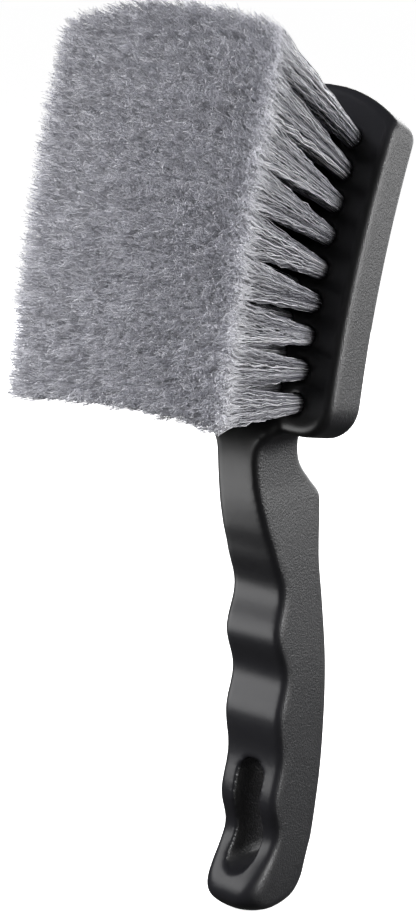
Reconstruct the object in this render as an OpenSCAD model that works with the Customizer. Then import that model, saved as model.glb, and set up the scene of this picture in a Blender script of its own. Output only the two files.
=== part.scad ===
// Short-handled wheel brush. One moulded body makes the head and the grip.
// Tufts of soft bristle stand in blind holes, each held by a flat wire anchor.
// The brush stands on the end of its handle, with the bristles facing -Y.

/* [Head] */
// Width of the head, side to side
head_w = 64; // [60:1:72]
// Length of the head along its curve, from bottom edge to crown
head_len = 107; // [104:1:112]
// Thickness of the head at its bottom edge
head_t = 15; // [14:0.5:18]
// Thickness of the head at its crown
crown_t = 12.5; // [12:0.5:15]
// Radius of the curve that the front of the head follows
head_bend_r = 360; // [340:10:600]
// Backward lean of the head at its bottom edge, in degrees
head_lean = 10.5; // [6:0.5:14]
// Height of the bottom edge of the head above the end of the handle
head_z = 153; // [150:0.5:155]
// Radius of the two bottom corners
bottom_corner_r = 11; // [8:0.5:14]
// Radius of the two top corners
top_corner_r = 6; // [5:0.5:8]
// Radius of the arched crown between the top corners
crown_r = 50; // [46:1:60]
// Rounding of the front edge of the head
front_round = 3.2; // [2:0.2:4]
// Rounding of the back edge of the head
back_round = 2; // [1:0.2:3]

/* [Handle] */
// Widest part of the grip
grip_w = 23.5; // [20:0.5:26]
// Width of the neck just below the head
neck_w = 17; // [15:0.5:19]
// Rounding along the four long edges of the handle
handle_round = 3; // [2:0.25:4]
// Rounding of the end of the handle at its front, seen from the side
end_front_round = 7.8; // [6:0.2:10]
// Rounding of the end of the handle at its back, seen from the side
end_back_round = 9.7; // [9:0.1:14]
// Rounding of the end of the handle, seen from the front
end_side_round = 4.3; // [4:0.1:8]
// Distance between two finger grooves
finger_pitch = 26.7; // [25:0.1:27]
// Depth of the top finger groove
finger_depth = 3; // [1:0.2:3.4]
// Number of finger grooves
fingers = 4; // [3:1:4]

/* [Hanging slot] */
// Width of the slot
slot_w = 10; // [8:0.5:11]
// Height of the slot, end to end
slot_h = 35; // [26:1:36]
// Height of the middle of the slot above the end of the handle
slot_z = 30; // [29:0.5:34]

/* [Tufts] */
// Rows of tufts, bottom to top
rows = 9; // [7:1:9]
// Columns of tufts, side to side
cols = 5; // [3:1:5]
// Distance between two rows at the head
row_pitch = 10; // [9.5:0.25:10]
// Distance between two columns at the head
col_pitch = 9.25; // [9:0.25:10.5]
// Distance from the bottom edge of the head to the first row
first_row = 9.5; // [9:0.5:11]
// How much higher the middle tuft of a row sits than its outer tufts
row_arch = 5; // [0:0.5:5]
// Diameter of a tuft hole
hole_d = 6; // [5:0.25:6.5]
// Depth of a tuft hole
hole_depth = 9; // [7:0.5:10]
// Free length of the tufts in the bottom row
bottom_len = 61.5; // [50:0.5:70]
// Free length of the tufts in the top row
top_len = 70.5; // [50:0.5:74]
// Diameter of a tuft at its tip
tip_d = 11; // [8:0.5:11]
// Outward tilt of the outer columns, in degrees
fan_side = 17; // [15:0.5:20]
// Outward tilt of the top and bottom rows, in degrees
fan_row = 4.5; // [3:0.5:6]

/* [Anchors] */
// Thickness of the flat anchor wire
anchor_t = 0.5; // [0.3:0.1:0.6]
// Height of the flat anchor wire
anchor_h = 2; // [1.5:0.1:2.2]
// How far each end of an anchor bites into the wall of its hole
anchor_bite = 0.5; // [0.3:0.1:0.6]

/* [Hidden] */
tuft_gap = 0.1;        // clearance round a tuft in its hole
anchor_gap = 0.05;     // clearance round an anchor
fold_h = 1.4;          // bristle folded below the anchor
hole_over = 3;         // how far the hole cutters stand out of the head
root_out = 1.2;        // straight part of a tuft outside the head
neck_into_head = 12;   // how far the handle runs up inside the head
mid_y = 9;             // half way between bristle tips and back of the crown
head_y = 15.5 - mid_y;   // front of the head at its bottom edge
fine = 48;             // smoothness of holes, tufts and the slot
slot_reach = 60;       // how far the slot cutter runs to each side of the middle
crown_gap = 1;         // degrees left out at the top of the crown, where its halves meet
groove_shares = [1, 1.03, 0.67, 1.13];   // depths of the grooves, as shares of the top one
edge_swell = 6;        // how much rounder the long edges get at the end of the handle
swell_h = 20;          // height above the end at which that begins
least_flat = 0.05;     // half width that a flat keeps between two rounded corners
arc_steps = 6;         // points on a corner or an edge rounding
end_steps = 9;         // rings over the rounded end of the handle
side_steps = 14;       // points along a straight side of the head
ring_step = 2.5;       // height between two rings of the handle

// Lines of the handle as [height, distance]: crest line of the front, line of
// the back, and width.  The crest line touches the ridges between the fingers.
crest_line = [[165, 20.5], [159, 16.8], [154, 13.2], [146, 11.9], [135, 12.6], [123, 15.4], [113, 18.5],
              [100, 19.2], [88, 19.2], [62, 19.5], [38, 17.4], [26, 16.5], [14, 10.5], [6, 7], [0, 8]];
back_line = [[165, 30], [152, 31.4], [148, 32.4], [141, 33.7], [134, 39.1], [130, 42.4], [125, 42.4],
             [110, 41.3], [96, 42.3], [78, 43.3], [62, 43], [44, 41.6], [28, 39], [14, 36.4], [0, 35.7]];
width_line = [[165, neck_w + 11], [153.5, neck_w + 10], [151, neck_w + 5.4], [148.5, neck_w + 1.6],
              [145, neck_w + 0.1], [136, neck_w + 0.2], [129, neck_w + 1.4], [116, grip_w - 3.3],
              [98, grip_w - 1.6], [74, grip_w], [48, grip_w], [28, grip_w - 0.4], [12, grip_w - 1.2],
              [0, grip_w - 3]];

bend_y = head_y + head_bend_r * cos(head_lean);
bend_z = head_z - head_bend_r * sin(head_lean);
root_d = hole_d - 2 * tuft_gap;
half_w = head_w / 2;
crown_mid = head_len - crown_r;
top_mid_x = half_w - top_corner_r;
top_mid_s = crown_mid + sqrt(pow(crown_r - top_corner_r, 2) - pow(top_mid_x, 2));
top_turn = atan2(top_mid_s - crown_mid, top_mid_x);
first_crest = head_z - 38.1;

function tuft_name(r, c) = str("tuft_row", r, "_col", c);
function anchor_name(r) = str("anchors_row", r);

// Smooth curve through a list of [height, distance], from the top down.
function slope(line, i) =
    let (a = max(i - 1, 0), b = min(i + 1, len(line) - 1))
    (line[b][1] - line[a][1]) / (line[b][0] - line[a][0]);
function span_of(line, z, i = 0) =
    i >= len(line) - 2 || z >= line[i + 1][0] ? i : span_of(line, z, i + 1);
function along(line, z) =
    let (i = span_of(line, z), p = line[i], q = line[i + 1])
    let (h = q[0] - p[0], u = (z - p[0]) / h)
    p[1] * (2 * u * u * u - 3 * u * u + 1) + h * slope(line, i) * (u * u * u - 2 * u * u + u)
    + q[1] * (3 * u * u - 2 * u * u * u) + h * slope(line, i + 1) * (u * u * u - u * u);

// Depth of the finger grooves at a height.
function groove(z) =
    let (turns = (first_crest - z) / finger_pitch)
    turns < 0 || turns >= fingers ? 0
    : finger_depth * groove_shares[floor(turns)] / 2 * (1 - cos(360 * turns));

// How far a rounding of the end pulls the handle in at a height.
function end_inset(z, r) = z >= r ? 0 : r - sqrt(r * r - pow(r - z, 2));

// One ring of the handle: a rectangle with round corners.
function handle_ring(z) =
    let (w = along(width_line, z) / 2 - end_inset(z, end_side_round))
    let (front = along(crest_line, z) + groove(z) - mid_y + end_inset(z, end_front_round))
    let (back = along(back_line, z) - mid_y - end_inset(z, end_back_round))
    let (swell = edge_swell * max(0, 1 - z / swell_h))
    let (r = min(handle_round + swell, w - least_flat, (back - front) / 2 - least_flat))
    [for (q = [0 : 3]) for (k = [0 : arc_steps])
        let (a = 90 * q + 90 * k / arc_steps)
        let (sx = q == 0 || q == 3 ? 1 : -1, mid = q < 2 ? back - r : front + r)
        [sx * (w - r) + r * cos(a), mid + r * sin(a), z]];

// Point of the head: x across, s up the front along the curve, t into the head.
function head_point(x, s, t) =
    let (lean = head_lean + s / head_bend_r * 180 / PI)
    let (thinning = 1 - (1 - crown_t / head_t) * s / head_len, r = head_bend_r - t * thinning)
    [x, bend_y - r * cos(lean), bend_z + r * sin(lean)];

// Right half of the outline of the head, drawn in by a distance, as [x, s].
function half_outline(inset) = concat(
    [for (k = [0 : arc_steps]) let (a = -90 + 90 * k / arc_steps, r = bottom_corner_r - inset)
        [half_w - bottom_corner_r + r * cos(a), bottom_corner_r + r * sin(a)]],
    [for (k = [1 : side_steps - 1])
        [half_w - inset, bottom_corner_r + (top_mid_s - bottom_corner_r) * k / side_steps]],
    [for (k = [0 : arc_steps]) let (a = top_turn * k / arc_steps, r = top_corner_r - inset)
        [top_mid_x + r * cos(a), top_mid_s + r * sin(a)]],
    [for (k = [1 : arc_steps]) let (a = top_turn + (90 - crown_gap - top_turn) * k / arc_steps)
        [(crown_r - inset) * cos(a), crown_mid + (crown_r - inset) * sin(a)]]
);

// Levels of the head as [inset, depth], front face to back face.
head_levels = concat(
    [for (k = [0 : arc_steps]) let (a = 90 * k / arc_steps)
        [front_round * (1 - sin(a)), front_round * (1 - cos(a))]],
    [for (k = [0 : arc_steps]) let (a = 90 * k / arc_steps)
        [back_round * (1 - cos(a)), head_t - back_round * (1 - sin(a))]]
);

// Place and direction of a tuft.  Its own +Z runs out of its hole.
function col_x(c) = (c - (cols + 1) / 2) * col_pitch;
function side_share(c) = 2 * (c - (cols + 1) / 2) / (cols - 1);
function row_share(r) = 2 * (r - (rows + 1) / 2) / (rows - 1);
function tuft_len(r) = (bottom_len + top_len + (top_len - bottom_len) * row_share(r)) / 2;
function row_s(r, c) =
    first_row + (r - 1) * row_pitch + row_arch * (1 - pow(side_share(c), 2));

module at_tuft(r, c) {
    s = row_s(r, c);
    lean = head_lean + s / head_bend_r * 180 / PI;
    translate(head_point(col_x(c), s, 0))
        rotate([90 - lean - fan_row * row_share(r), 0, 0])
            rotate([0, fan_side * side_share(c), 0])
                children();
}

// Skin over a stack of rings that all have the same number of points.
module ring_stack(rings, bottom_faces, top_faces) {
    n = len(rings[0]);
    points = [for (ring = rings) for (p = ring) p];
    walls = [for (i = [0 : len(rings) - 2]) for (j = [0 : n - 1])
        let (a = i * n + j, b = i * n + (j + 1) % n)
        each [[a, a + n, b + n], [a, b + n, b]]];
    polyhedron(points, concat(bottom_faces, walls, top_faces));
}

module handle_solid() {
    top = head_z + neck_into_head;
    low = [for (k = [0 : end_steps]) end_back_round * (1 - cos(90 * k / end_steps))];
    count = ceil((top - end_back_round) / ring_step);
    high = [for (k = [1 : count]) end_back_round + (top - end_back_round) * k / count];
    heights = concat(low, high);
    rings = [for (z = heights) handle_ring(z)];
    n = len(rings[0]);
    last = (len(rings) - 1) * n;
    ring_stack(rings, [[for (j = [0 : n - 1]) j]], [[for (j = [n - 1 : -1 : 0]) last + j]]);
}

module head_solid() {
    rings = [for (level = head_levels)
        let (half = half_outline(level[0]), m = len(half))
        concat(
            [for (p = half) head_point(-p[0], p[1], level[1])],
            [for (j = [m - 1 : -1 : 0]) head_point(half[j][0], half[j][1], level[1])]
        )];
    n = len(rings[0]);
    m = n / 2;
    last = (len(rings) - 1) * n;
    front = [for (j = [0 : m - 2]) [j, j + 1, n - 2 - j, n - 1 - j]];
    back = [for (j = [0 : m - 2]) [last + n - 1 - j, last + n - 2 - j, last + j + 1, last + j]];
    ring_stack(rings, front, back);
}

module tuft_hole(r, c) {
    at_tuft(r, c)
        translate([0, 0, -hole_depth])
            cylinder(d = hole_d, h = hole_depth + hole_over, $fn = fine);
}

module anchor_bar(gap) {
    span = hole_d + 2 * anchor_bite;
    translate([0, 0, fold_h - hole_depth + anchor_h / 2])
        cube([span + 2 * gap, anchor_t + 2 * gap, anchor_h + 2 * gap], center = true);
}

module hanging_slot() {
    reach = (slot_h - slot_w) / 2;
    translate([0, slot_reach, slot_z])
        rotate([90, 0, 0])
            linear_extrude(height = 2 * slot_reach)
                union() {
                    square([slot_w, 2 * reach], center = true);
                    for (side = [-1, 1])
                        translate([0, side * reach])
                            circle(d = slot_w, $fn = fine);
                }
}

module brush_body() {
    color("#2b2b2e")
        difference() {
            union() {
                handle_solid();
                head_solid();
            }
            hanging_slot();
            for (r = [1 : rows])
                for (c = [1 : cols]) {
                    tuft_hole(r, c);
                    at_tuft(r, c) anchor_bar(anchor_gap);
                }
        }
}

module tuft(r, c) {
    color("#8f8f98")
        at_tuft(r, c)
            difference() {
                union() {
                    translate([0, 0, -hole_depth])
                        cylinder(d = root_d, h = hole_depth + root_out, $fn = fine);
                    translate([0, 0, root_out])
                        cylinder(d1 = root_d, d2 = tip_d, h = tuft_len(r) - root_out, $fn = fine);
                }
                anchor_bar(anchor_gap);
            }
}

module anchors(r) {
    color("#b9a27a")
        for (c = [1 : cols])
            at_tuft(r, c)
                anchor_bar(0);
}

brush_body();
for (r = [1 : rows])
    for (c = [1 : cols])
        tuft(r, c);
for (r = [1 : rows])
    anchors(r);
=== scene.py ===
import math

import bmesh
import bpy
import numpy as np
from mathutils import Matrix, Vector


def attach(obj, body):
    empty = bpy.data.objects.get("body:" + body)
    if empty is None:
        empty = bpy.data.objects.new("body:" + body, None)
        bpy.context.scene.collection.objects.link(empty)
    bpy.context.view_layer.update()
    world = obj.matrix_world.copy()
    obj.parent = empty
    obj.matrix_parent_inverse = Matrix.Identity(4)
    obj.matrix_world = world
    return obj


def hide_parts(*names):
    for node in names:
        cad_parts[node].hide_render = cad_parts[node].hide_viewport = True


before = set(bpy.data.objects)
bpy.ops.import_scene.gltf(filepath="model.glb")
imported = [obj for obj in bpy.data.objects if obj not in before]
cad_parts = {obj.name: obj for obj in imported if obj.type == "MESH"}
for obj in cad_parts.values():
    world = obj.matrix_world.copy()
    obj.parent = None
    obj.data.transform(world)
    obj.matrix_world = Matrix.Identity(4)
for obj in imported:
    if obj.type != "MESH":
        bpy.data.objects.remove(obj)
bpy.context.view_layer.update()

mm = 0.001
scene = bpy.context.scene


def toLinear(hexColour):
    channels = [int(hexColour[i:i + 2], 16) / 255 for i in (1, 3, 5)]
    return [c / 12.92 if c <= 0.04045 else ((c + 0.055) / 1.055) ** 2.4 for c in channels] + [1.0]


def addNode(tree, kind, settings=None, inputs=None):
    # adds one node, sets its settings, then fills its inputs with values or with other sockets
    node = tree.nodes.new(kind)
    for name, value in (settings or {}).items():
        setattr(node, name, value)
    for key, value in (inputs or {}).items():
        if isinstance(value, bpy.types.Node):
            value = value.outputs[0]
        if isinstance(value, bpy.types.NodeSocket):
            tree.links.new(value, node.inputs[key])
        else:
            node.inputs[key].default_value = value
    return node


def meshObject(name, points, faces):
    mesh = bpy.data.meshes.new(name)
    mesh.from_pydata(points, [], faces)
    mesh.update()
    piece = bpy.data.objects.new(name, mesh)
    scene.collection.objects.link(piece)
    return piece


def settledMesh(piece, name):
    # the evaluated result as a plain mesh in the same object, with its modifiers gone
    graph = bpy.context.evaluated_depsgraph_get()
    mesh = bpy.data.meshes.new_from_object(piece.evaluated_get(graph))
    old = piece.data
    piece.modifiers.clear()
    piece.data = mesh
    piece.name = name
    mesh.name = name
    bpy.data.meshes.remove(old)
    return piece


def newMaterial(name):
    material = bpy.data.materials.new(name)
    material.use_nodes = True
    material.node_tree.nodes.clear()
    return material, material.node_tree


polypropylene = {
    "colour": "#18181b",
    "rubbedColour": "#222225",
    "roughness": 0.32,
    "grainRoughness": 0.46,
    "grainWidth": 0.6,    # mm, one pit of the eroded mould
    "grainDepth": 0.05,   # mm
    "satinWidth": 2.5,    # mm, slow waves of the polished front
    "satinDepth": 0.006,  # mm
    "noiseSpan": 0.25,    # the noise uses about this much of its range, so depths are divided by it
    "patchiness": 0.06,   # how much duller the high parts of the waves are
    "grainFrom": 0.72,    # the grain starts on faces that look this much sideways
    "grainRise": 0.22,
}


def makePolypropylene():
    # black polypropylene from a spark-eroded mould: grainy, greyish sides and a smoother satin front
    look = polypropylene
    material, tree = newMaterial("moulded black polypropylene")
    place = addNode(tree, "ShaderNodeTexCoord").outputs["Object"]
    grain = addNode(tree, "ShaderNodeAttribute", {"attribute_name": "grain"}).outputs["Fac"]
    pits = addNode(tree, "ShaderNodeTexNoise", {"noise_dimensions": "3D"}, {
        "Vector": place, "Scale": 1 / (look["grainWidth"] * mm), "Detail": 2.5, "Roughness": 0.55})
    waves = addNode(tree, "ShaderNodeTexNoise", {"noise_dimensions": "3D"}, {
        "Vector": place, "Scale": 1 / (look["satinWidth"] * mm), "Detail": 1.0})
    pitHeight = addNode(tree, "ShaderNodeMath", {"operation": "MULTIPLY"}, {
        0: pits.outputs["Fac"], 1: grain})
    grained = addNode(tree, "ShaderNodeBump", None, {
        "Height": pitHeight, "Distance": look["grainDepth"] * mm / look["noiseSpan"], "Strength": 1.0})
    satin = addNode(tree, "ShaderNodeBump", None, {
        "Height": waves.outputs["Fac"], "Distance": look["satinDepth"] * mm / look["noiseSpan"],
        "Strength": 1.0, "Normal": grained})
    dull = addNode(tree, "ShaderNodeMapRange", None, {
        "Value": grain, "To Min": look["roughness"], "To Max": look["grainRoughness"]})
    patchy = addNode(tree, "ShaderNodeMath", {"operation": "MULTIPLY_ADD"}, {
        0: waves.outputs["Fac"], 1: look["patchiness"], 2: dull})
    colour = addNode(tree, "ShaderNodeMix", {"data_type": "RGBA"}, {
        0: pitHeight, 6: toLinear(look["colour"]), 7: toLinear(look["rubbedColour"])})
    shader = addNode(tree, "ShaderNodeBsdfPrincipled", None, {
        "Base Color": colour.outputs[2], "Roughness": patchy, "IOR": 1.5, "Normal": satin})
    addNode(tree, "ShaderNodeOutputMaterial", None, {"Surface": shader})
    return material


nylon = {
    "deepColour": "#4c4c54",
    "colour": "#a8a8b0",
    "paleColour": "#f4f4f8",
    "tipColour": "#eeeef4",
    "tipFrom": 0.6,   # share of the length at which a strand starts to turn pale
    "tipMost": 0.4,   # how much of the pale colour its very end has
    "roughness": 0.45,
}


def makeNylon():
    # crimped nylon filament, dyed grey, with split ends that scatter more light and look paler
    look = nylon
    material, tree = newMaterial("crimped grey nylon filament")
    strandMap = addNode(tree, "ShaderNodeUVMap", {"uv_map": "OFBake"})
    parts = addNode(tree, "ShaderNodeSeparateXYZ", None, {"Vector": strandMap})
    # the tone across the map is each strand's own random shade; on the split ends of the outer tufts it
    # also carries the painted side highlight made in the tuft tree
    shade = addNode(tree, "ShaderNodeValToRGB", None, {"Fac": parts.outputs["X"]})
    ramp = shade.color_ramp
    ramp.elements[0].color = toLinear(look["deepColour"])
    ramp.elements[1].color = toLinear(look["paleColour"])
    ramp.elements.new(0.5).color = toLinear(look["colour"])
    nearTip = addNode(tree, "ShaderNodeMapRange", None, {
        "Value": parts.outputs["Y"], "From Min": look["tipFrom"], "To Max": look["tipMost"]})
    colour = addNode(tree, "ShaderNodeMix", {"data_type": "RGBA"}, {
        0: nearTip, 6: shade.outputs["Color"], 7: toLinear(look["tipColour"])})
    shader = addNode(tree, "ShaderNodeBsdfPrincipled", None, {
        "Base Color": colour.outputs[2], "Roughness": look["roughness"], "IOR": 1.53})
    addNode(tree, "ShaderNodeOutputMaterial", None, {"Surface": shader})
    return material


brass = {
    "colour": "#b8a075",
    "roughness": 0.32,
    "drawMark": 0.15,       # mm, spacing of the lines that the drawing die leaves
    "drawDepth": 0.01,      # mm
    "drawStretch": 0.05,
    "roughnessSpread": (-0.08, 0.1),
}


def makeBrass():
    # flat brass wire, drawn through a die, so fine lines run along it
    look = brass
    material, tree = newMaterial("drawn brass wire")
    least, most = look["roughnessSpread"]
    place = addNode(tree, "ShaderNodeTexCoord").outputs["Object"]
    stretched = addNode(tree, "ShaderNodeMapping", None, {
        "Vector": place, "Scale": (look["drawStretch"], 1.0, 1.0)})
    lines = addNode(tree, "ShaderNodeTexNoise", None, {
        "Vector": stretched, "Scale": 1 / (look["drawMark"] * mm), "Detail": 2.0})
    marks = addNode(tree, "ShaderNodeBump", None, {
        "Height": lines.outputs["Fac"], "Distance": look["drawDepth"] * mm, "Strength": 0.6})
    rough = addNode(tree, "ShaderNodeMapRange", None, {
        "Value": lines.outputs["Fac"], "To Min": look["roughness"] + least,
        "To Max": look["roughness"] + most})
    shader = addNode(tree, "ShaderNodeBsdfPrincipled", None, {
        "Base Color": toLinear(look["colour"]), "Metallic": 1.0, "Roughness": rough,
        "Normal": marks})
    addNode(tree, "ShaderNodeOutputMaterial", None, {"Surface": shader})
    return material


bodyShape = {  # mm and degrees
    "headWidth": 64,
    "headLength": 107,
    "headThick": 15,
    "crownThick": 12.5,
    "headBend": 360,
    "headLean": 10.5,
    "headBottom": 153,
    "bottomCorner": 11,
    "topCorner": 6,
    "crownRadius": 50,
    "frontRound": 3.2,
    "backRound": 2,
    "gripWidth": 23.5,
    "neckWidth": 17,
    "edgeRound": 3,
    "endFrontRound": 7.8,
    "endBackRound": 9.7,
    "endSideRound": 4.3,
    "edgeSwell": 6,       # the long edges get this much rounder towards the end
    "swellHeight": 20,
    "grooveDepths": (3, 3.1, 2, 3.4),
    "grooveSpacing": 26.7,
    "firstCrest": 114.9,
    "slotWidth": 10,
    "slotHeight": 35,
    "slotMiddle": 30,
    "middle": 9,          # the lines below are measured from a plane this far in front of the origin
    "headFront": 15.5,
    "handleInHead": 12,   # how far the handle runs up inside the head
    "arcSteps": 12,
    "endSteps": 16,
    "sideSteps": 40,
    "holeSteps": 32,
    "ringStep": 0.8,
    "voxel": 0.7,
    "softening": 7,       # smoothing passes over the whole skin
    "neckSoftening": 40,  # further passes where the neck runs into the head
    "neckReach": 9,       # they fade out this far above and below the joint
    "neckHalf": 20,       # and at this distance from the middle
    "neckFade": 6,
    "holeDepth": 4.5,     # as deep as the tufts let anyone see
    "holePast": 3,        # the cutters stand this far out of the front
    "slotReach": 60,      # and the slot cutter this far to the front and back
}
neck = bodyShape["neckWidth"]
grip = bodyShape["gripWidth"]
crestLine = [(165, 20.5), (159, 16.8), (154, 13.2), (146, 11.9), (135, 12.6), (123, 15.4), (113, 18.5),
             (100, 19.2), (88, 19.2), (62, 19.5), (38, 17.4), (26, 16.5), (14, 10.5), (6, 7), (0, 8)]
backLine = [(165, 30), (152, 31.4), (148, 32.4), (141, 33.7), (134, 39.1), (130, 42.4), (125, 42.4),
            (110, 41.3), (96, 42.3), (78, 43.3), (62, 43), (44, 41.6), (28, 39), (14, 36.4), (0, 35.7)]
widthLine = [(165, neck + 11), (153.5, neck + 10), (151, neck + 5.4), (148.5, neck + 1.6),
             (145, neck + 0.1), (136, neck + 0.2), (129, neck + 1.4), (116, grip - 3.3),
             (98, grip - 1.6), (74, grip), (48, grip), (28, grip - 0.4), (12, grip - 1.2),
             (0, grip - 3)]


def along(line, z):
    # smooth curve through points (height, distance) that run from the top down
    last = len(line) - 1
    i = next((k for k in range(last) if z >= line[k + 1][0]), last - 1)

    def slope(k):
        a, b = line[max(k - 1, 0)], line[min(k + 1, last)]
        return (b[1] - a[1]) / (b[0] - a[0])

    p, q = line[i], line[i + 1]
    h = q[0] - p[0]
    u = (z - p[0]) / h
    return (p[1] * (2 * u ** 3 - 3 * u ** 2 + 1) + h * slope(i) * (u ** 3 - 2 * u ** 2 + u)
            + q[1] * (3 * u ** 2 - 2 * u ** 3) + h * slope(i + 1) * (u ** 3 - u ** 2))


def fingerGroove(z):
    shape = bodyShape
    turns = (shape["firstCrest"] - z) / shape["grooveSpacing"]
    if turns < 0 or turns >= len(shape["grooveDepths"]):
        return 0
    return shape["grooveDepths"][int(turns)] / 2 * (1 - math.cos(2 * math.pi * turns))


def endInset(z, r):
    return 0 if z >= r else r - math.sqrt(r ** 2 - (r - z) ** 2)


def handleRing(z):
    # a rectangle with round corners, drawn in near the rounded end
    shape = bodyShape
    half = along(widthLine, z) / 2 - endInset(z, shape["endSideRound"])
    front = along(crestLine, z) + fingerGroove(z) - shape["middle"] + endInset(z, shape["endFrontRound"])
    back = along(backLine, z) - shape["middle"] - endInset(z, shape["endBackRound"])
    swell = shape["edgeSwell"] * max(0, 1 - z / shape["swellHeight"])
    r = min(shape["edgeRound"] + swell, half - 0.05, (back - front) / 2 - 0.05)
    ring = []
    for quarter in range(4):
        sideways = 1 if quarter in (0, 3) else -1
        middle = back - r if quarter < 2 else front + r
        for k in range(shape["arcSteps"] + 1):
            a = math.pi / 2 * (quarter + k / shape["arcSteps"])
            ring.append((sideways * (half - r) + r * math.cos(a), middle + r * math.sin(a), z))
    return ring


def headPoint(x, s, t):
    # x across, s up the curved front, t into the head
    shape = bodyShape
    lean0 = math.radians(shape["headLean"])
    bend = shape["headBend"]
    bendY = shape["headFront"] - shape["middle"] + bend * math.cos(lean0)
    bendZ = shape["headBottom"] - bend * math.sin(lean0)
    lean = lean0 + s / bend
    thinning = 1 - (1 - shape["crownThick"] / shape["headThick"]) * s / shape["headLength"]
    r = bend - t * thinning
    return (x, bendY - r * math.cos(lean), bendZ + r * math.sin(lean))


def halfOutline(inset):
    # right half of the head's outline as (x, s), from the bottom to the top of the crown
    shape = bodyShape
    half = shape["headWidth"] / 2
    low, high, crown = shape["bottomCorner"], shape["topCorner"], shape["crownRadius"]
    crownMiddle = shape["headLength"] - crown
    cornerX = half - high
    cornerS = crownMiddle + math.sqrt((crown - high) ** 2 - cornerX ** 2)
    turn = math.atan2(cornerS - crownMiddle, cornerX)
    steps = shape["arcSteps"]
    points = []
    for k in range(steps + 1):
        a = math.pi / 2 * (k / steps - 1)
        points.append((half - low + (low - inset) * math.cos(a), low + (low - inset) * math.sin(a)))
    for k in range(1, shape["sideSteps"]):
        points.append((half - inset, low + (cornerS - low) * k / shape["sideSteps"]))
    for k in range(steps + 1):
        a = turn * k / steps
        points.append((cornerX + (high - inset) * math.cos(a), cornerS + (high - inset) * math.sin(a)))
    top = math.radians(89.5)  # just short of the middle, where the left half begins
    for k in range(1, 2 * steps + 1):
        a = turn + (top - turn) * k / (2 * steps)
        points.append(((crown - inset) * math.cos(a), crownMiddle + (crown - inset) * math.sin(a)))
    return points


def skinOver(name, rings, closeAcross):
    # walls between rings of equal length; the two end faces are fans or strips across
    n = len(rings[0])
    points = [Vector(p) * mm for ring in rings for p in ring]
    faces = []
    for i in range(len(rings) - 1):
        for j in range(n):
            a, b = i * n + j, i * n + (j + 1) % n
            faces.append((a, a + n, b + n, b))
    last = (len(rings) - 1) * n
    if closeAcross:
        for j in range(n // 2 - 1):
            faces.append((j, j + 1, n - 2 - j, n - 1 - j))
            faces.append((last + n - 1 - j, last + n - 2 - j, last + j + 1, last + j))
    else:
        faces.append(tuple(range(n)))
        faces.append(tuple(last + j for j in range(n - 1, -1, -1)))
    piece = meshObject(name, points, faces)
    work = bmesh.new()
    work.from_mesh(piece.data)
    bmesh.ops.recalc_face_normals(work, faces=work.faces)
    work.to_mesh(piece.data)
    work.free()
    return piece


def makeHandle():
    # the rings lie closer together in the rounded end
    shape = bodyShape
    end = shape["endBackRound"]
    top = shape["headBottom"] + shape["handleInHead"]
    steps = shape["endSteps"]
    low = [end * (1 - math.cos(math.pi / 2 * k / steps)) for k in range(steps + 1)]
    count = math.ceil((top - end) / shape["ringStep"])
    high = [end + (top - end) * k / count for k in range(1, count + 1)]
    return skinOver("handle", [handleRing(z) for z in low + high], False)


def makeHead():
    # outlines stacked from the front to the back, drawn in where the edges are round
    shape = bodyShape
    steps = shape["arcSteps"]
    levels = []
    for k in range(steps + 1):
        a = math.pi / 2 * k / steps
        levels.append((shape["frontRound"] * (1 - math.sin(a)), shape["frontRound"] * (1 - math.cos(a))))
    for k in range(steps + 1):
        a = math.pi / 2 * k / steps
        levels.append((shape["backRound"] * (1 - math.cos(a)),
                       shape["headThick"] - shape["backRound"] * (1 - math.sin(a))))
    rings = []
    for inset, depth in levels:
        half = halfOutline(inset)
        rings.append([headPoint(-x, s, depth) for x, s in half]
                     + [headPoint(x, s, depth) for x, s in reversed(half)])
    return skinOver("head", rings, True)


tuftLayout = {  # mm and degrees
    "rows": 9,
    "cols": 5,
    "rowPitch": 10,
    "colPitch": 9.25,
    "firstRow": 9.5,
    "rowArch": 5,
    "holeWidth": 6,
    "fanSide": 17,
    "fanRow": 4.5,
    "tipReach": 33.3,           # middle of the outer tips from the middle of the brush
    "tipHalf": 9.0,             # half width of the patch that one tuft covers at its tips
    "tipOverlap": 1.1,          # the patches overlap a little from row to row
    "tipBottom": (-50.2, 165),  # y and z of the trimmed face's bottom edge, at its corners
    "tipTop": (-25.2, 271.3),
    "tipBulge": 2.5,
    "bottomArch": 3,
    "topArch": 6.4,
}


def tuftFrame(row, col):
    # mouth of the hole, and the tuft's own across, up and outward directions
    lay = tuftLayout
    sideShare = 2 * (col - (lay["cols"] + 1) / 2) / (lay["cols"] - 1)
    rowShare = 2 * (row - (lay["rows"] + 1) / 2) / (lay["rows"] - 1)
    s = lay["firstRow"] + (row - 1) * lay["rowPitch"] + lay["rowArch"] * (1 - sideShare ** 2)
    x = (col - (lay["cols"] + 1) / 2) * lay["colPitch"]
    lift = math.radians(bodyShape["headLean"] + lay["fanRow"] * rowShare) + s / bodyShape["headBend"]
    turn = math.radians(lay["fanSide"] * sideShare)
    across = Vector((math.cos(turn), math.sin(turn) * math.cos(lift), -math.sin(turn) * math.sin(lift)))
    up = Vector((0, math.sin(lift), math.cos(lift)))
    out = Vector((math.sin(turn), -math.cos(turn) * math.cos(lift), math.cos(turn) * math.sin(lift)))
    return Vector(headPoint(x, s, 0)), across, up, out, sideShare


def tipFace(x, share):
    # point of the trimmed face: x across, share from 0 at its bottom edge to 1 at its top edge
    lay = tuftLayout
    low, high = Vector(lay["tipBottom"]), Vector(lay["tipTop"])
    chord = high - low
    outward = Vector((-chord.y, chord.x)).normalized()
    middle = low + chord * share + outward * lay["tipBulge"] * 4 * share * (1 - share)
    arch = lay["bottomArch"] + (lay["topArch"] - lay["bottomArch"]) * share
    edge = lay["tipReach"] + lay["tipHalf"]
    return Vector((x, middle.x, middle.y + arch * (1 - (x / edge) ** 2)))


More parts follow.
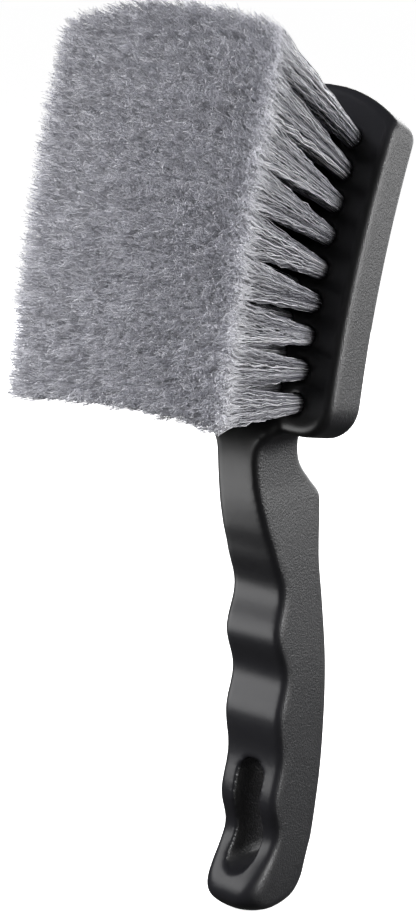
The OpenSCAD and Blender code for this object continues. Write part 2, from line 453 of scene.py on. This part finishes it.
def makeCutters():
    # one mesh of all the blind holes and the hanging slot
    shape, lay = bodyShape, tuftLayout
    steps = shape["holeSteps"]
    work = bmesh.new()
    for row in range(1, lay["rows"] + 1):
        for col in range(1, lay["cols"] + 1):
            mouth, across, up, out, _ = tuftFrame(row, col)
            rings = []
            for depth in (-shape["holeDepth"], shape["holePast"]):
                ring = []
                for k in range(steps):
                    a = 2 * math.pi * k / steps
                    aside = (across * math.cos(a) + up * math.sin(a)) * lay["holeWidth"] / 2
                    ring.append(work.verts.new((mouth + aside + out * depth) * mm))
                rings.append(ring)
            for k in range(steps):
                n = (k + 1) % steps
                work.faces.new((rings[0][k], rings[0][n], rings[1][n], rings[1][k]))
            work.faces.new(rings[0][::-1])
            work.faces.new(rings[1])
    half = shape["slotWidth"] / 2
    straight = (shape["slotHeight"] - shape["slotWidth"]) / 2
    outline = []
    for side in (1, -1):
        for k in range(steps + 1):
            a = math.pi * k / steps
            outline.append((side * half * math.cos(a),
                            shape["slotMiddle"] + side * (straight + half * math.sin(a))))
    front = [work.verts.new(Vector((x, -shape["slotReach"], z)) * mm) for x, z in outline]
    back = [work.verts.new(Vector((x, shape["slotReach"], z)) * mm) for x, z in outline]
    count = len(outline)
    for k in range(count):
        n = (k + 1) % count
        work.faces.new((front[k], front[n], back[n], back[k]))
    work.faces.new(front[::-1])
    work.faces.new(back)
    bmesh.ops.recalc_face_normals(work, faces=work.faces)
    cutters = meshObject("cutters", [], [])
    work.to_mesh(cutters.data)
    work.free()
    return cutters


def makeBody(material):
    shape = bodyShape
    body = makeHandle()
    head = makeHead()
    cutters = makeCutters()
    for other, way in ((head, "UNION"), (cutters, "DIFFERENCE")):
        cut = body.modifiers.new(other.name, "BOOLEAN")
        cut.object = other
        cut.operation = way
        cut.solver = "EXACT"
    skin = body.modifiers.new("one skin", "REMESH")
    skin.mode = "VOXEL"
    skin.voxel_size = shape["voxel"] * mm
    skin.use_smooth_shade = True
    soften = body.modifiers.new("soften", "SMOOTH")
    soften.factor = 0.5
    soften.iterations = shape["softening"]
    settledMesh(body, "brushBody")
    for used in (head, cutters):
        bpy.data.objects.remove(used)

    # the neck flows into the head: more smoothing there, fading out above and below
    mesh = body.data
    places = np.zeros(len(mesh.vertices) * 3)
    mesh.vertices.foreach_get("co", places)
    places = places.reshape(-1, 3) / mm
    joint = shape["headBottom"] + 1
    near = np.clip(1 - np.abs(places[:, 2] - joint) / shape["neckReach"], 0, 1)
    near *= np.clip((shape["neckHalf"] - np.abs(places[:, 0])) / shape["neckFade"], 0, 1)
    group = body.vertex_groups.new(name="neckRoot")
    for index in np.nonzero(near > 0.02)[0]:
        group.add([int(index)], float(near[index]), "REPLACE")
    soften = body.modifiers.new("soften neck", "SMOOTH")
    soften.factor = 0.5
    soften.iterations = shape["neckSoftening"]
    soften.vertex_group = "neckRoot"
    settledMesh(body, "brushBody")
    body.vertex_groups.clear()

    # the grain of the mould is on the faces that look sideways
    mesh = body.data
    normals = np.zeros(len(mesh.vertices) * 3)
    mesh.vertices.foreach_get("normal", normals)
    sideways = np.abs(normals.reshape(-1, 3)[:, 0])
    share = np.clip((sideways - polypropylene["grainFrom"]) / polypropylene["grainRise"], 0, 1)
    grain = mesh.attributes.new("grain", "FLOAT", "POINT")
    grain.data.foreach_set("value", (share * share * (3 - 2 * share)).astype(np.float32))
    mesh.shade_smooth()
    mesh.materials.clear()
    mesh.materials.append(material)
    return body


tuftShape = {  # mm
    "strands": 240,
    "strandWidth": 0.3,
    "segments": 10,
    "innerSegments": 5,    # in the tufts that others hide
    "rootRadius": 2.75,
    "inHole": 4,           # how far down the hole a strand is drawn
    "opening": 1.25,       # above 1 a tuft stays narrow at its root and opens late
    "settling": 1.3,       # above 1 its middle turns late towards its place in the face
    "crimp": 0.35,
    "crimpTurns": 5.0,
    "flags": 6,            # split ends of a strand
    "flagWidth": 0.13,
    "flagLength": 11,
    "flagSpread": 1.1,
    "flagKink": 0.5,
    "shortestCut": 0.99,   # the trimming leaves some ends this much short of the face
    "taperFrom": 0.7,
    "endLean": 0.3,        # how far the end of a strand curls to one side
    "stray": 0.5,
    "cornerRound": 0.55,
    "palest": 0.95,        # tone of the palest strand, from 0 for deep to 1 for pale
    # painted highlight: the split ends of the outer tufts are painted paler, standing in for the side light
    # on the two edges of the trimmed face
    "paintedSideHighlight": 0.85,
    "sideHighlightFrom": 35,        # from here to the next distance from the middle the ends turn pale
    "sideHighlightTo": 42,
}


def makePathGroup():
    # where a strand runs: from its place in the hole out to its place in the trimmed face
    shape = tuftShape
    tree = bpy.data.node_groups.new("strand path", "GeometryNodeTree")
    face = tree.interface
    wanted = [("Strand", "Int"), ("Along", "Float"), ("Seed", "Int"), ("Root", "Vector"),
              ("Root across", "Vector"), ("Root up", "Vector"), ("Out", "Vector"), ("Tip", "Vector"),
              ("Tip across", "Vector"), ("Tip up", "Vector"), ("Squareness", "Float"),
              ("Crimp", "Float"), ("Crimp turns", "Float"), ("Stray", "Float"), ("End lean", "Float")]
    for name, kind in wanted:
        face.new_socket(name, in_out="INPUT", socket_type="NodeSocket" + kind)
    face.new_socket("Position", in_out="OUTPUT", socket_type="NodeSocketVector")
    given = addNode(tree, "NodeGroupInput").outputs
    seeds = [addNode(tree, "ShaderNodeMath", {"operation": "ADD"}, {0: given["Seed"], 1: float(k)})
             for k in range(5)]
    # places spread evenly over a square: irrational steps, wrapped round, then shaken a little
    begin = addNode(tree, "ShaderNodeVectorMath", {"operation": "SCALE"}, {
        0: (0.618034, 0.414214, 0), "Scale": given["Seed"]})
    steps = addNode(tree, "ShaderNodeVectorMath", {"operation": "SCALE"}, {
        0: (0.7548777, 0.5698403, 0), "Scale": given["Strand"]})
    steps = addNode(tree, "ShaderNodeVectorMath", {"operation": "ADD"}, {0: steps, 1: begin})
    steps = addNode(tree, "ShaderNodeVectorMath", {"operation": "FRACTION"}, {0: steps})
    shake = addNode(tree, "FunctionNodeRandomValue", {"data_type": "FLOAT_VECTOR"}, {
        0: (-1.04, -1.04, -1), 1: (-0.96, -0.96, 1), "ID": given["Strand"], "Seed": seeds[0]})
    spot = addNode(tree, "ShaderNodeVectorMath", {"operation": "MULTIPLY_ADD"}, {
        0: steps, 1: (2, 2, 2), 2: shake})
    flat = addNode(tree, "ShaderNodeVectorMath", {"operation": "MULTIPLY"}, {0: spot, 1: (1, 1, 0)})
    size = addNode(tree, "ShaderNodeVectorMath", {"operation": "ABSOLUTE"}, {0: flat})
    sizeParts = addNode(tree, "ShaderNodeSeparateXYZ", None, {0: size})
    larger = addNode(tree, "ShaderNodeMath", {"operation": "MAXIMUM"}, {
        0: sizeParts.outputs[0], 1: sizeParts.outputs[1]})
    reach = addNode(tree, "ShaderNodeVectorMath", {"operation": "LENGTH"}, {0: flat}).outputs["Value"]
    ratio = addNode(tree, "ShaderNodeMath", {"operation": "DIVIDE"}, {0: larger, 1: reach})
    disc = addNode(tree, "ShaderNodeVectorMath", {"operation": "SCALE"}, {0: flat, "Scale": ratio})
    discParts = addNode(tree, "ShaderNodeSeparateXYZ", None, {0: disc})
    patch = addNode(tree, "ShaderNodeMix", {"data_type": "VECTOR"}, {
        0: given["Squareness"], 4: disc, 5: flat})
    patchParts = addNode(tree, "ShaderNodeSeparateXYZ", None, {0: patch.outputs[1]})

    rootAcross = addNode(tree, "ShaderNodeVectorMath", {"operation": "MULTIPLY"}, {
        0: given["Root across"], 1: discParts.outputs[0]})
    rootSpot = addNode(tree, "ShaderNodeVectorMath", {"operation": "MULTIPLY_ADD"}, {
        0: given["Root up"], 1: discParts.outputs[1], 2: rootAcross})
    tipAcross = addNode(tree, "ShaderNodeVectorMath", {"operation": "MULTIPLY"}, {
        0: given["Tip across"], 1: patchParts.outputs[0]})
    tipSpot = addNode(tree, "ShaderNodeVectorMath", {"operation": "MULTIPLY_ADD"}, {
        0: given["Tip up"], 1: patchParts.outputs[1], 2: tipAcross})

    # some strands stand away from the rest
    astray = addNode(tree, "FunctionNodeRandomValue", {"data_type": "FLOAT_VECTOR"}, {
        0: (-1, -1, -1), 1: (1, 1, 1), "ID": given["Strand"], "Seed": seeds[1]})
    chance = addNode(tree, "FunctionNodeRandomValue", {"data_type": "FLOAT"}, {
        2: 0.0, 3: 1.0, "ID": given["Strand"], "Seed": seeds[2]}).outputs[1]
    rare = addNode(tree, "ShaderNodeMath", {"operation": "POWER"}, {0: chance, 1: 6.0})
    far = addNode(tree, "ShaderNodeMath", {"operation": "MULTIPLY_ADD"}, {0: rare, 1: 0.8, 2: 0.2})
    away = addNode(tree, "ShaderNodeMath", {"operation": "MULTIPLY"}, {0: far, 1: given["Stray"]})
    tipPlace = addNode(tree, "ShaderNodeVectorMath", {"operation": "MULTIPLY_ADD"}, {
        0: astray, 1: away, 2: tipSpot})

    opened = addNode(tree, "ShaderNodeMath", {"operation": "POWER"}, {
        0: given["Along"], 1: shape["opening"]})
    aside = addNode(tree, "ShaderNodeMix", {"data_type": "VECTOR"}, {
        0: opened, 4: rootSpot, 5: tipPlace})
    straightEnd = addNode(tree, "ShaderNodeVectorMath", {"operation": "ADD"}, {
        0: given["Root"], 1: given["Out"]})
    missing = addNode(tree, "ShaderNodeVectorMath", {"operation": "SUBTRACT"}, {
        0: given["Tip"], 1: straightEnd})
    bent = addNode(tree, "ShaderNodeMath", {"operation": "POWER"}, {
        0: given["Along"], 1: shape["settling"]})
    bending = addNode(tree, "ShaderNodeVectorMath", {"operation": "MULTIPLY_ADD"}, {
        0: missing, 1: bent, 2: given["Root"]})
    middle = addNode(tree, "ShaderNodeVectorMath", {"operation": "MULTIPLY_ADD"}, {
        0: given["Out"], 1: given["Along"], 2: bending})
    smooth = addNode(tree, "ShaderNodeVectorMath", {"operation": "ADD"}, {0: middle, 1: aside.outputs[1]})

    phase = addNode(tree, "FunctionNodeRandomValue", {"data_type": "FLOAT_VECTOR"}, {
        0: (-9, -9, -9), 1: (9, 9, 9), "ID": given["Strand"], "Seed": seeds[3]})
    pace = addNode(tree, "ShaderNodeMath", {"operation": "MULTIPLY_ADD"}, {0: chance, 1: 0.5, 2: 0.75})
    turns = addNode(tree, "ShaderNodeMath", {"operation": "MULTIPLY"}, {0: pace, 1: given["Crimp turns"]})
    angle = addNode(tree, "ShaderNodeMath", {"operation": "MULTIPLY"}, {0: turns, 1: 2 * math.pi})
    swing = addNode(tree, "ShaderNodeVectorMath", {"operation": "MULTIPLY_ADD"}, {
        0: angle, 1: given["Along"], 2: phase})
    wave = addNode(tree, "ShaderNodeVectorMath", {"operation": "SINE"}, {0: swing})
    free = addNode(tree, "ShaderNodeMapRange", None, {
        "Value": given["Along"], "From Min": 0.08, "From Max": 0.35, "To Max": given["Crimp"]})
    crimped = addNode(tree, "ShaderNodeVectorMath", {"operation": "MULTIPLY_ADD"}, {
        0: wave, 1: free, 2: smooth})
    curl = addNode(tree, "FunctionNodeRandomValue", {"data_type": "FLOAT_VECTOR"}, {
        0: (-1, -1, -1), 1: (1, 1, 1), "ID": given["Strand"], "Seed": seeds[4]})
    lastPart = addNode(tree, "ShaderNodeMapRange", None, {"Value": given["Along"], "From Min": 0.84})
    lastPart = addNode(tree, "ShaderNodeMath", {"operation": "POWER"}, {0: lastPart, 1: 1.8})
    leaning = addNode(tree, "ShaderNodeMath", {"operation": "MULTIPLY"}, {
        0: lastPart, 1: given["End lean"]})
    position = addNode(tree, "ShaderNodeVectorMath", {"operation": "MULTIPLY_ADD"}, {
        0: curl, 1: leaning, 2: crimped})
    addNode(tree, "NodeGroupOutput", None, {0: position})
    return tree


def makeTuftTree():
    shape = tuftShape
    tree = bpy.data.node_groups.new("tuft", "GeometryNodeTree")
    tree.is_modifier = True
    face = tree.interface
    face.new_socket("Geometry", in_out="INPUT", socket_type="NodeSocketGeometry")
    wanted = [("Seed", "Int"), ("Strands", "Int"), ("Segments", "Int"), ("Strand radius", "Float"),
              ("Flags", "Int"), ("Flag radius", "Float"), ("Flag spread", "Float"),
              ("Flag share", "Float"), ("Root", "Vector"), ("Root across", "Vector"),
              ("Root up", "Vector"), ("Out", "Vector"), ("Tip", "Vector"), ("Tip across", "Vector"),
              ("Tip up", "Vector"), ("Squareness", "Float"), ("Crimp", "Float"),
              ("Crimp turns", "Float"), ("Stray", "Float"), ("End lean", "Float"),
              ("Painted side highlight", "Float"), ("Material", "Material")]
    for name, kind in wanted:
        face.new_socket(name, in_out="INPUT", socket_type="NodeSocket" + kind)
    face.new_socket("Geometry", in_out="OUTPUT", socket_type="NodeSocketGeometry")
    given = addNode(tree, "NodeGroupInput").outputs
    passed = ["Seed", "Root", "Root across", "Root up", "Out", "Tip", "Tip across", "Tip up",
              "Squareness", "Crimp", "Crimp turns", "Stray", "End lean"]
    pathGroup = makePathGroup()
    curveIndex = addNode(tree, "GeometryNodeCurveOfPoint").outputs["Curve Index"]
    along = addNode(tree, "GeometryNodeSplineParameter").outputs["Factor"]
    line = addNode(tree, "GeometryNodeCurvePrimitiveLine")

    # whole strands, from the hole to the trimmed face
    strandPoints = addNode(tree, "ShaderNodeMath", {"operation": "ADD"}, {0: given["Segments"], 1: 1.0})
    strandLine = addNode(tree, "GeometryNodeResampleCurve", None, {"Curve": line, "Count": strandPoints})
    strandSet = addNode(tree, "GeometryNodeDuplicateElements", {"domain": "SPLINE"}, {
        "Geometry": strandLine, "Amount": given["Strands"]})
    strandPath = addNode(tree, "GeometryNodeGroup", {"node_tree": pathGroup}, {
        "Strand": curveIndex, "Along": along, **{name: given[name] for name in passed}})
    strandsLaid = addNode(tree, "GeometryNodeSetPosition", None, {
        "Geometry": strandSet, "Position": strandPath})
    strandTaper = addNode(tree, "ShaderNodeMapRange", None, {
        "Value": along, "From Min": shape["taperFrom"], "To Min": given["Strand radius"],
        "To Max": given["Flag radius"]})
    strandsSized = addNode(tree, "GeometryNodeSetCurveRadius", None, {
        "Curve": strandsLaid, "Radius": strandTaper})
    strandsMarked = addNode(tree, "GeometryNodeStoreNamedAttribute", {"domain": "POINT"}, {
        "Geometry": strandsSized, "Name": "along", "Value": along})
    tone = addNode(tree, "FunctionNodeRandomValue", {"data_type": "FLOAT"}, {
        2: 0.0, 3: shape["palest"], "ID": curveIndex, "Seed": given["Seed"]}).outputs[1]
    strandsToned = addNode(tree, "GeometryNodeStoreNamedAttribute", {"domain": "POINT"}, {
        "Geometry": strandsMarked, "Name": "tone", "Value": tone})

    # split ends: each follows its strand for the last stretch and leans away from it
    flagCount = addNode(tree, "ShaderNodeMath", {"operation": "MULTIPLY"}, {
        0: given["Strands"], 1: given["Flags"]})
    flagLine = addNode(tree, "GeometryNodeResampleCurve", None, {"Curve": line, "Count": 4})
    flagSet = addNode(tree, "GeometryNodeDuplicateElements", {"domain": "SPLINE"}, {
        "Geometry": flagLine, "Amount": flagCount})
    ofStrand = addNode(tree, "ShaderNodeMath", {"operation": "DIVIDE"}, {0: curveIndex, 1: given["Flags"]})
    ofStrand = addNode(tree, "ShaderNodeMath", {"operation": "FLOOR"}, {0: ofStrand})
    flagStart = addNode(tree, "ShaderNodeMath", {"operation": "SUBTRACT"}, {0: 1.0, 1: given["Flag share"]})
    cut = addNode(tree, "FunctionNodeRandomValue", {"data_type": "FLOAT"}, {
        2: shape["shortestCut"], 3: 1.0, "ID": curveIndex, "Seed": given["Seed"]}).outputs[1]
    rest = addNode(tree, "ShaderNodeMath", {"operation": "SUBTRACT"}, {0: 1.0, 1: along})
    rest = addNode(tree, "ShaderNodeMath", {"operation": "MULTIPLY"}, {0: rest, 1: rest})
    eased = addNode(tree, "ShaderNodeMath", {"operation": "SUBTRACT"}, {0: 1.0, 1: rest})
    flagAlong = addNode(tree, "ShaderNodeMapRange", {"clamp": False}, {
        "Value": eased, "To Min": flagStart, "To Max": cut})
    flagPath = addNode(tree, "GeometryNodeGroup", {"node_tree": pathGroup}, {
        "Strand": ofStrand, "Along": flagAlong, **{name: given[name] for name in passed}})
    lean = addNode(tree, "FunctionNodeRandomValue", {"data_type": "FLOAT_VECTOR"}, {
        0: (-1, -1, -1), 1: (1, 1, 1), "ID": curveIndex, "Seed": given["Seed"]})
    pointIndex = addNode(tree, "GeometryNodeInputIndex")
    kink = addNode(tree, "FunctionNodeRandomValue", {"data_type": "FLOAT_VECTOR"}, {
        0: [-shape["flagKink"]] * 3, 1: [shape["flagKink"]] * 3, "ID": pointIndex,
        "Seed": given["Seed"]})
    leanKinked = addNode(tree, "ShaderNodeVectorMath", {"operation": "ADD"}, {0: lean, 1: kink})
    late = addNode(tree, "ShaderNodeMath", {"operation": "POWER"}, {0: along, 1: 3.0})
    late = addNode(tree, "ShaderNodeMix", {"data_type": "FLOAT"}, {0: 0.35, 2: eased, 3: late})
    leanNow = addNode(tree, "ShaderNodeMath", {"operation": "MULTIPLY"}, {
        0: late, 1: given["Flag spread"]})
    flagPlace = addNode(tree, "ShaderNodeVectorMath", {"operation": "MULTIPLY_ADD"}, {
        0: leanKinked, 1: leanNow, 2: flagPath})
    flagsLaid = addNode(tree, "GeometryNodeSetPosition", None, {
        "Geometry": flagSet, "Position": flagPlace})
    flagsSized = addNode(tree, "GeometryNodeSetCurveRadius", None, {
        "Curve": flagsLaid, "Radius": given["Flag radius"]})
    flagsMarked = addNode(tree, "GeometryNodeStoreNamedAttribute", {"domain": "POINT"}, {
        "Geometry": flagsSized, "Name": "along", "Value": flagAlong})
    # painted highlight: the split ends are painted paler towards the two sides of the brush, standing in
    # for the side light that falls on the edges of the trimmed face
    sideways = addNode(tree, "ShaderNodeSeparateXYZ", None, {0: flagPath}).outputs[0]
    sideways = addNode(tree, "ShaderNodeMath", {"operation": "ABSOLUTE"}, {0: sideways})
    palest = addNode(tree, "ShaderNodeMapRange", None, {
        "Value": sideways, "From Min": shape["sideHighlightFrom"] * mm, "From Max": shape["sideHighlightTo"] * mm,
        "To Max": given["Painted side highlight"]})
    flagTone = addNode(tree, "FunctionNodeRandomValue", {"data_type": "FLOAT"}, {
        2: palest, 3: shape["palest"], "ID": ofStrand, "Seed": given["Seed"]}).outputs[1]
    flagsToned = addNode(tree, "GeometryNodeStoreNamedAttribute", {"domain": "POINT"}, {
        "Geometry": flagsMarked, "Name": "tone", "Value": flagTone})

    # every line becomes a thin three-sided tube that carries its tone and the way along it
    together = addNode(tree, "GeometryNodeJoinGeometry")
    tree.links.new(strandsToned.outputs[0], together.inputs[0])
    tree.links.new(flagsToned.outputs[0], together.inputs[0])

    profile = addNode(tree, "GeometryNodeCurvePrimitiveCircle", None, {"Resolution": 3, "Radius": 1.0})
    profileMarked = addNode(tree, "GeometryNodeStoreNamedAttribute", {"domain": "POINT"}, {
        "Geometry": profile, "Name": "around", "Value": along})
    radius = addNode(tree, "GeometryNodeInputRadius")
    tubes = addNode(tree, "GeometryNodeCurveToMesh", None, {
        "Curve": together, "Profile Curve": profileMarked, "Scale": radius, "Fill Caps": True})
    attribute = {}
    for name in ("tone", "along", "around"):
        attribute[name] = addNode(tree, "GeometryNodeInputNamedAttribute", {"data_type": "FLOAT"}, {
            "Name": name}).outputs[0]
    across = addNode(tree, "ShaderNodeMath", {"operation": "MULTIPLY_ADD"}, {
        0: attribute["around"], 1: 0.05, 2: attribute["tone"]})
    mapped = addNode(tree, "ShaderNodeCombineXYZ", None, {0: across, 1: attribute["along"]})
    unwrapped = addNode(tree, "GeometryNodeStoreNamedAttribute", {
        "domain": "CORNER", "data_type": "FLOAT2"}, {
        "Geometry": tubes, "Name": "OFBake", "Value": mapped})
    cleaned = unwrapped
    for name in ("tone", "along", "around"):
        cleaned = addNode(tree, "GeometryNodeRemoveAttribute", None, {"Geometry": cleaned, "Name": name})
    rounded = addNode(tree, "GeometryNodeSetShadeSmooth", None, {"Geometry": cleaned, "Shade Smooth": True})
    real = addNode(tree, "GeometryNodeRealizeInstances", None, {"Geometry": rounded})
    coloured = addNode(tree, "GeometryNodeSetMaterial", None, {
        "Geometry": real, "Material": given["Material"]})
    addNode(tree, "NodeGroupOutput", None, {0: coloured})
    return tree


def makeTuft(row, col, tree, material):
    # one tuft: the tree's inputs say where its root and its patch of the face are
    shape, lay = tuftShape, tuftLayout
    mouth, across, up, out, sideShare = tuftFrame(row, col)
    share = (row - 0.5) / lay["rows"]
    halfShare = 0.5 / lay["rows"] * lay["tipOverlap"]
    x = sideShare * lay["tipReach"]
    tip = tipFace(x, share)
    tipAcross = (tipFace(x + lay["tipHalf"], share) - tipFace(x - lay["tipHalf"], share)) / 2
    tipUp = (tipFace(x, share + halfShare) - tipFace(x, share - halfShare)) / 2
    root = mouth - out * shape["inHole"]
    length = (tip - root).length
    corner = row in (1, lay["rows"]) and col in (1, lay["cols"])
    inner = 1 < row < lay["rows"] and 1 < col < lay["cols"]
    name = f"tuftRow{row}Col{col}"
    piece = meshObject(name, [], [])
    bristles = piece.modifiers.new("bristles", "NODES")
    bristles.node_group = tree
    values = {
        "Seed": row * 100 + col * 7,
        "Strands": shape["strands"] // 1,
        "Segments": shape["innerSegments" if inner else "segments"],
        "Strand radius": shape["strandWidth"] / 2 * mm,
        "Flags": shape["flags"],
        "Flag radius": shape["flagWidth"] / 2 * mm,
        "Flag spread": shape["flagSpread"] * mm,
        "Flag share": shape["flagLength"] / length,
        "Root": root * mm,
        "Root across": across * shape["rootRadius"] * mm,
        "Root up": up * shape["rootRadius"] * mm,
        "Out": out * length * mm,
        "Tip": tip * mm,
        "Tip across": tipAcross * mm,
        "Tip up": tipUp * mm,
        "Squareness": 1 - shape["cornerRound"] if corner else 1.0,
        "Crimp": shape["crimp"] * mm,
        "Crimp turns": shape["crimpTurns"],
        "Stray": shape["stray"] * mm,
        "End lean": shape["endLean"] * mm,
        "Painted side highlight": shape["paintedSideHighlight"],
        "Material": material,
    }
    sockets = {item.name: item.identifier for item in tree.interface.items_tree
               if item.item_type == "SOCKET" and item.in_out == "INPUT"}
    for key, value in values.items():
        bristles[sockets[key]] = value
    return settledMesh(piece, name)


studio = {
    "lookAt": (0.0, -0.009, 0.147),
    "distance": 0.6447,
    "azimuth": 42.0,
    "elevation": 12.5,
    "lens": 86.94,
    "floorColour": "#f0f0f1",
    "floorHalf": 12,      # metres
    "tableGlow": 0.95,    # the floor is a lit white table
    "worldLight": 0.05,
    "softboxes": {        # place, height aimed at, width, height, brightness
        "grip": ((-0.08, -0.08, 0.086), 0.086, 0.16, 0.08, 3.2),
        "right": ((0.8, 0.55, 0.31), 0.15, 0.9, 0.5, 7.3),
        "edge": ((0.9, -0.06, 0.34), 0.2, 0.5, 0.12, 60.0),
        "high": ((-0.65, -0.16, 0.9), 0.15, 0.14, 0.08, 4.0),
        "backdrop": ((-0.3, 1.0, 0.25), 0.15, 1.6, 0.5, 4.0),
        "bristle": ((-0.2, -0.7, 0.75), 0.15, 0.5, 0.5, 27.0),
    },
    "onlyReflected": ("grip", "edge"),
    "neverReflected": ("bristle",),
}


def makeStage():
    # a lit white table that throws no light or shadow, and a world that is white only to the camera
    half = studio["floorHalf"]
    corners = [(-half, -half, 0), (half, -half, 0), (half, half, 0), (-half, half, 0)]
    floor = meshObject("floor", corners, [(0, 1, 2, 3)])
    material = bpy.data.materials.new("matt white painted board")
    material.use_nodes = True
    tree = material.node_tree
    shader = tree.nodes["Principled BSDF"]
    shader.inputs["Base Color"].default_value = toLinear(studio["floorColour"])
    shader.inputs["Roughness"].default_value = 0.9
    shader.inputs["Emission Color"].default_value = (1, 1, 1, 1)
    shader.inputs["Emission Strength"].default_value = studio["tableGlow"]
    floor.visible_diffuse = False
    floor.visible_glossy = False
    floor.visible_shadow = False
    floor.data.materials.append(material)

    world = bpy.data.worlds.new("studio")
    scene.world = world
    world.use_nodes = True
    tree = world.node_tree
    tree.nodes.clear()
    seen = addNode(tree, "ShaderNodeLightPath").outputs["Is Camera Ray"]
    strength = addNode(tree, "ShaderNodeMapRange", None, {
        "Value": seen, "To Min": studio["worldLight"], "To Max": 1.0})
    background = addNode(tree, "ShaderNodeBackground", None, {
        "Color": (1, 1, 1, 1), "Strength": strength})
    addNode(tree, "ShaderNodeOutputWorld", None, {"Surface": background})


def addSoftbox(name, place, aim, width, height, glow):
    # glow is the brightness of the lit panel itself, so its power grows with its area
    light = bpy.data.lights.new(name, "AREA")
    light.shape = "RECTANGLE"
    light.size = width
    light.size_y = height
    light.energy = glow * math.pi * width * height
    box = bpy.data.objects.new(name, light)
    box.visible_camera = False
    box.location = place
    box.rotation_euler = (Vector((0, 0, aim)) - Vector(place)).to_track_quat("-Z", "Y").to_euler()
    scene.collection.objects.link(box)
    return box


def addCamera():
    a, e = math.radians(studio["azimuth"]), math.radians(studio["elevation"])
    back = Vector((math.sin(a) * math.cos(e), -math.cos(a) * math.cos(e), math.sin(e)))
    lens = bpy.data.cameras.new("camera")
    lens.lens = studio["lens"]
    lens.sensor_width = 36
    lens.clip_start = 0.01
    camera = bpy.data.objects.new("camera", lens)
    camera.location = Vector(studio["lookAt"]) + back * studio["distance"]
    camera.rotation_euler = (-back).to_track_quat("-Z", "Y").to_euler()
    scene.collection.objects.link(camera)
    scene.camera = camera


print("stage")
scene.view_settings.view_transform = "Standard"
makeStage()
addCamera()
for name, values in studio["softboxes"].items():
    box = addSoftbox(name + " softbox", *values)
    box.visible_diffuse = name not in studio["onlyReflected"]
    box.visible_glossy = name not in studio["neverReflected"]

print("body")
plastic = makePolypropylene()
filament = makeNylon()
wire = makeBrass()
body = makeBody(plastic)
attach(body, "root")
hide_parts("brush_body")

print("tufts")
tuftTree = makeTuftTree()
for row in range(1, tuftLayout["rows"] + 1):
    for col in range(1, tuftLayout["cols"] + 1):
        tuft = makeTuft(row, col, tuftTree, filament)
        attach(tuft, "root")
        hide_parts(f"tuft_row{row}_col{col}")

print("anchors")
for row in range(1, tuftLayout["rows"] + 1):
    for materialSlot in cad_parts[f"anchors_row{row}"].material_slots:
        materialSlot.material = wire
